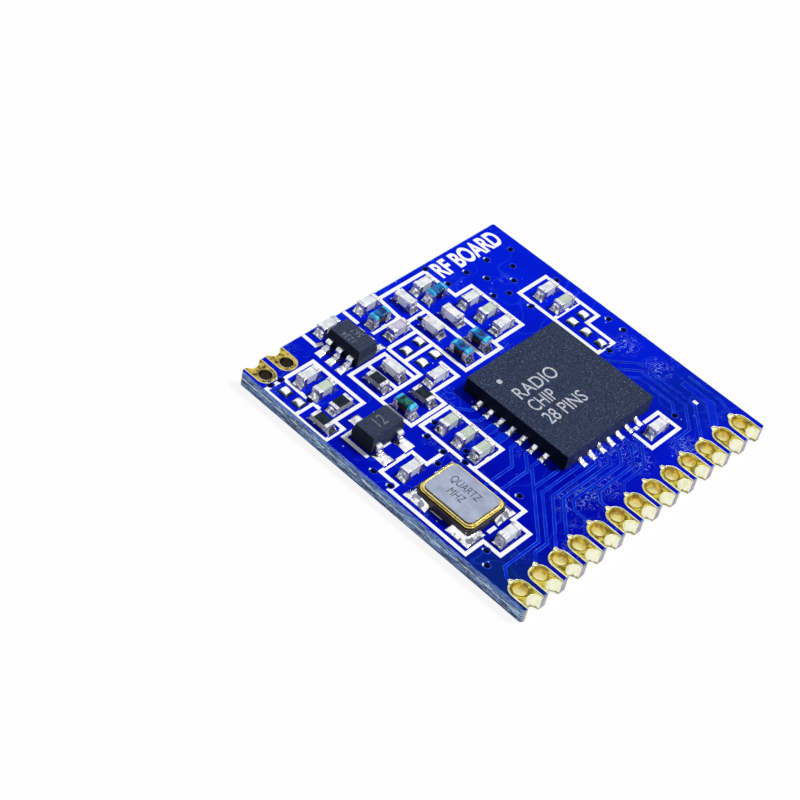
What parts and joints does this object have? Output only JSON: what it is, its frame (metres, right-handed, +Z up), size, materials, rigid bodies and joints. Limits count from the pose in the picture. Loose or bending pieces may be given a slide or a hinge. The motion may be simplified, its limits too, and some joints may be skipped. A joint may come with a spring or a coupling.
{
  "type": "surface-mount radio transceiver module",
  "caption": "Small blue circuit board with plated edge pads, carrying a leadless radio chip, a crystal, an antenna switch, a transistor and chip passives.",
  "frame": {"origin": "centre of the board's underside", "axes": "+X along the row of thirteen pin pads (pin 1 at -X), +Y from that row to the edge with the two antenna pads, +Z up through the component side"},
  "size_m": [0.0166, 0.0168, 0.0018],
  "materials": {
    "laminate": "woven glass and resin, sawn edge",
    "mask_top": "glossy",
    "mask_bottom": "glossy",
    "pin_pads": "gold plated, satin",
    "antenna_pads": "gold plated, satin",
    "vias": "plated, dull",
    "lands": "tinned",
    "tracks": "mask over copper, glossy",
    "legend": "printed ink",
    "chip_body": "moulded, fine speckle",
    "chip_contacts": "tinned",
    "crystal_ceramic": "matt",
    "crystal_gold": "gold plated",
    "crystal_lid": "satin, nickel plated",
    "switch_body": "moulded",
    "switch_leads": "tinned, bright",
    "transistor_body": "moulded",
    "transistor_leads": "tinned, bright",
    "capacitor_terminals": "tinned, bright",
    "capacitor_white": "fired, satin",
    "capacitor_green": "fired, satin",
    "resistor_coat": "glossy",
    "resistor_terminals": "tinned, bright",
    "resistor_ceramic": "matt",
    "inductor_coating": "clear coloured resin",
    "wire": "enamelled copper",
    "inductor_terminals": "tinned",
    "inductor_ceramic": "matt",
    "chip_solder": "reflowed, bright",
    "part_solder": "reflowed, bright",
    "spare_solder": "reflowed, bright"
  },
  "bodies": {
    "root": {"laminate": "laminate", "solder_mask_top": "mask_top", "solder_mask_bottom": "mask_bottom", "castellated_pads": "pin_pads", "antenna_pads": "antenna_pads", "plated_vias": "vias", "part_lands": "lands", "track_ridges": "tracks", "white_legend": "legend", "radio_chip_body": "chip_body", "radio_chip_contacts": "chip_contacts", "crystal_base": "crystal_ceramic", "crystal_seal_ring": "crystal_gold", "crystal_lid": "crystal_lid", "switch_body": "switch_body", "switch_leads": "switch_leads", "transistor_body": "transistor_body", "transistor_leads": "transistor_leads", "capacitor_terminals": "capacitor_terminals", "resistor_coats": "resistor_coat", "resistor_terminals": "resistor_terminals", "inductor_coatings": "inductor_coating", "inductor_windings": "wire", "inductor_terminals": "inductor_terminals", "chip_solder": "chip_solder", "part_solder": "part_solder", "spare_land_solder": "spare_solder", "capacitor_1": "capacitor_white", "capacitor_2": "capacitor_green", "capacitor_3": "capacitor_white", "capacitor_4": "capacitor_white", "capacitor_5": "capacitor_white", "capacitor_6": "capacitor_white", "capacitor_7": "capacitor_white", "capacitor_8": "capacitor_white", "capacitor_9": "capacitor_white", "capacitor_10": "capacitor_white", "capacitor_11": "capacitor_green", "capacitor_12": "capacitor_white", "capacitor_13": "capacitor_white", "capacitor_14": "capacitor_white", "capacitor_15": "capacitor_white", "capacitor_16": "capacitor_green", "capacitor_17": "capacitor_green", "capacitor_18": "capacitor_green", "capacitor_19": "capacitor_green", "capacitor_20": "capacitor_white", "capacitor_21": "capacitor_white", "capacitor_22": "capacitor_white", "resistor_1": "resistor_ceramic", "resistor_2": "resistor_ceramic", "resistor_3": "resistor_ceramic", "resistor_4": "resistor_ceramic", "inductor_1": "inductor_ceramic", "inductor_2": "inductor_ceramic", "inductor_3": "inductor_ceramic", "inductor_4": "inductor_ceramic", "inductor_5": "inductor_ceramic"}
  },
  "joints": []
}
